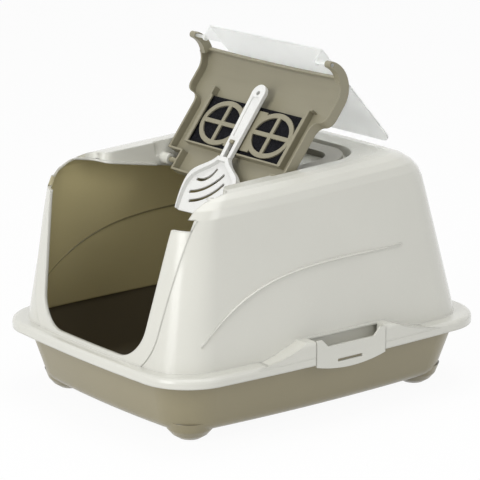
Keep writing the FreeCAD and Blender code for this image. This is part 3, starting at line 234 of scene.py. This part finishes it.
def carbon_foam(name, colour):
    """Open-pored black foam, darker in the pore centres as painted shade."""
    material, tree, shader = new_material(name)
    pores = tree.nodes.new("ShaderNodeTexVoronoi")
    pores.inputs["Scale"].default_value = PORE_SCALE
    tree.links.new(object_place(tree), pores.inputs["Vector"])
    depth = add_range(tree, pores.outputs["Distance"], 0.0, 1.0, 0.1, 0.7)
    # Painted shade: pore centres darker than the cell walls
    tint = add_mix(tree, depth, shaded(colour, 0.4), shaded(colour, 2.6))
    tree.links.new(tint, shader.inputs["Base Color"])
    shader.inputs["Roughness"].default_value = 0.95
    shader.inputs["Specular IOR Level"].default_value = 0.12
    add_bump(tree, shader, depth, 0.8, PORE_DEPTH)
    return material


def dress(node, material):
    """Give a node one material."""
    slots = nodes[node].data.materials
    slots.clear()
    slots.append(material)


def line_points(start, direction):
    """Places and relative thicknesses of the moulded line, on the hood face that a sideways ray meets first."""
    points = []
    for step in range(LINE_STEPS + 1):
        share = step / LINE_STEPS
        along = LINE_FRONT.x + share * (LINE_REAR.x - LINE_FRONT.x)
        height = LINE_FRONT.y + (LINE_REAR.y - LINE_FRONT.y) * (1 - (1 - share) ** LINE_BEND)
        origin = Vector((start, along, height))
        found, place, _, _ = nodes["hood"].ray_cast(origin, Vector((direction, 0, 0)))
        assert found, "the moulded line left the hood's wall"
        taper = min(1.0, FRONT_TAPER * share, REAR_TAPER * (1 - share))
        points.append((place, max(THINNEST_END, taper)))
    return points


def moulded_line(name, start, direction, thickness, material):
    """Thin tapering ridge along one wall of the hood."""
    points = line_points(start, direction)
    curve = bpy.data.curves.new(name, "CURVE")
    curve.dimensions = "3D"
    curve.bevel_depth = thickness
    curve.bevel_resolution = 3
    curve.use_fill_caps = True
    spline = curve.splines.new("NURBS")
    spline.points.add(len(points) - 1)
    for control, (place, taper) in zip(spline.points, points):
        control.co = (*place, 1.0)
        control.radius = taper
    spline.order_u = 3
    spline.use_endpoint_u = True
    line = bpy.data.objects.new(name, curve)
    scene.collection.objects.link(line)
    curve.materials.append(material)
    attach(line, "base")


def seen_rays(tree):
    """1 for rays that show the surround: to the camera, in gloss and through clear pieces."""
    rays = tree.nodes.new("ShaderNodeLightPath")
    total = rays.outputs["Is Camera Ray"]
    for other in ("Is Glossy Ray", "Is Transmission Ray"):
        node = tree.nodes.new("ShaderNodeMath")
        node.operation = "MAXIMUM"
        tree.links.new(total, node.inputs[0])
        tree.links.new(rays.outputs[other], node.inputs[1])
        total = node.outputs["Value"]
    return total


def make_floor():
    """Pale floor that keeps a soft share of the object's shadow."""
    bpy.ops.mesh.primitive_plane_add(size=FLOOR_SIZE, location=(0.0, 0.0, -FLOOR_DROP))
    floor = bpy.context.object
    floor.name = "studio_floor"
    material, tree, shader = new_material("floor_paper")
    shader.inputs["Base Color"].default_value = shaded(PAPER, 1.0)
    shader.inputs["Roughness"].default_value = 0.9
    glow = tree.nodes.new("ShaderNodeEmission")
    glow.inputs["Color"].default_value = shaded(PURE_WHITE, 1.0)
    blend = tree.nodes.new("ShaderNodeMixShader")
    seen = add_range(tree, seen_rays(tree), 0.0, FLOOR_GLOW, 0.0, 1.0)
    tree.links.new(seen, blend.inputs["Fac"])
    tree.links.new(shader.outputs["BSDF"], blend.inputs[1])
    tree.links.new(glow.outputs["Emission"], blend.inputs[2])
    tree.links.new(blend.outputs["Shader"], tree.nodes["Material Output"].inputs["Surface"])
    floor.data.materials.append(material)


def make_world():
    """Even white surround, pure white where it is seen."""
    world = bpy.data.worlds.new("studio")
    world.use_nodes = True
    tree = world.node_tree
    surround = tree.nodes["Background"]
    surround.inputs["Color"].default_value = shaded(PURE_WHITE, 1.0)
    level = add_range(tree, seen_rays(tree), SURROUND_LIGHT, 1.0, 0.0, 1.0)
    tree.links.new(level, surround.inputs["Strength"])
    scene.world = world


def facing(place, target):
    """Rotation of a lamp or camera that looks from a place to a target."""
    return (target - place).to_track_quat("-Z", "Y").to_euler()


def add_softbox(name, place, width, height, power):
    """Rectangular lamp that faces the box, in metres and watts."""
    light = bpy.data.lights.new(name, "AREA")
    light.shape = "RECTANGLE"
    light.size = width
    light.size_y = height
    light.energy = power
    lamp = bpy.data.objects.new(name, light)
    lamp.location = place
    lamp.rotation_euler = facing(Vector(place), LAMP_TARGET)
    scene.collection.objects.link(lamp)


def make_camera():
    camera = bpy.data.cameras.new("photo_camera")
    camera.lens = CAMERA_LENS
    camera.sensor_width = SENSOR_WIDTH
    camera.clip_end = 100.0
    holder = bpy.data.objects.new("photo_camera", camera)
    holder.location = CAMERA_PLACE
    holder.rotation_euler = facing(CAMERA_PLACE, CAMERA_TARGET)
    scene.collection.objects.link(holder)
    scene.camera = holder


hood_plastic = moulded_plastic("hood_plastic", OFF_WHITE, 0.22, mottle=0.015, grain_height=0.05, soft=0.0035,
                               coat=0.5, inside_shade=HOOD_INSIDE_PAINTED_SHADE, depth=HOOD_DEPTH)
clip_plastic = moulded_plastic("clip_plastic", OFF_WHITE, 0.22, mottle=0.015, grain_height=0.05, coat=0.5)
tray_plastic = moulded_plastic("tray_plastic", TAUPE, 0.34, mottle=0.02, grain_height=0.08, soft=0.004,
                               coat=0.2, inside_shade=TRAY_INSIDE_PAINTED_SHADE, depth=TRAY_DEPTH)
lid_plastic = moulded_plastic("lid_plastic", LID_TAUPE, 0.40)
scoop_plastic = moulded_plastic("scoop_plastic", WHITE, 0.30, mottle=0.02)
handle_plastic = moulded_plastic("handle_plastic", HANDLE_GREY, 0.40)
# Inside moulded line: darkened colour as painted shade of the crease
line_painted_shade_plastic = moulded_plastic("line_painted_shade_plastic", shaded(HOOD_INSIDE_PAINTED_SHADE, 0.4)[:3], 0.3)

dress("tray", tray_plastic)
dress("hood", hood_plastic)
dress("lid", lid_plastic)
dress("filter_holder", lid_plastic)
dress("carbon_filter", carbon_foam("carbon_foam", CHARCOAL))
dress("flap", frosted_plastic("frosted_flap", FROST))
dress("scoop", scoop_plastic)
dress("carry_handle", handle_plastic)
dress("side_clip_right", clip_plastic)
dress("side_clip_left", clip_plastic)

bpy.context.view_layer.update()
for wall, side in (("left", -1), ("right", 1)):
    moulded_line(f"inside_line_{wall}", 0.0, side, INSIDE_LINE, line_painted_shade_plastic)
    moulded_line(f"outside_line_{wall}", side * OUTSIDE_START, -side, OUTSIDE_LINE, clip_plastic)

make_floor()
make_world()
add_softbox("key_front", (0.5, -2.9, 1.75), 1.8, 1.6, 47.0)
add_softbox("fill_low", (0.6, -3.0, 0.6), 1.2, 0.8, 11.0)
add_softbox("fill_side", (2.9, 0.6, 1.5), 1.6, 1.6, 17.0)
add_softbox("top", (0.0, 0.2, 2.8), 2.2, 2.2, 31.0)
make_camera()
scene.view_settings.view_transform = "Standard"
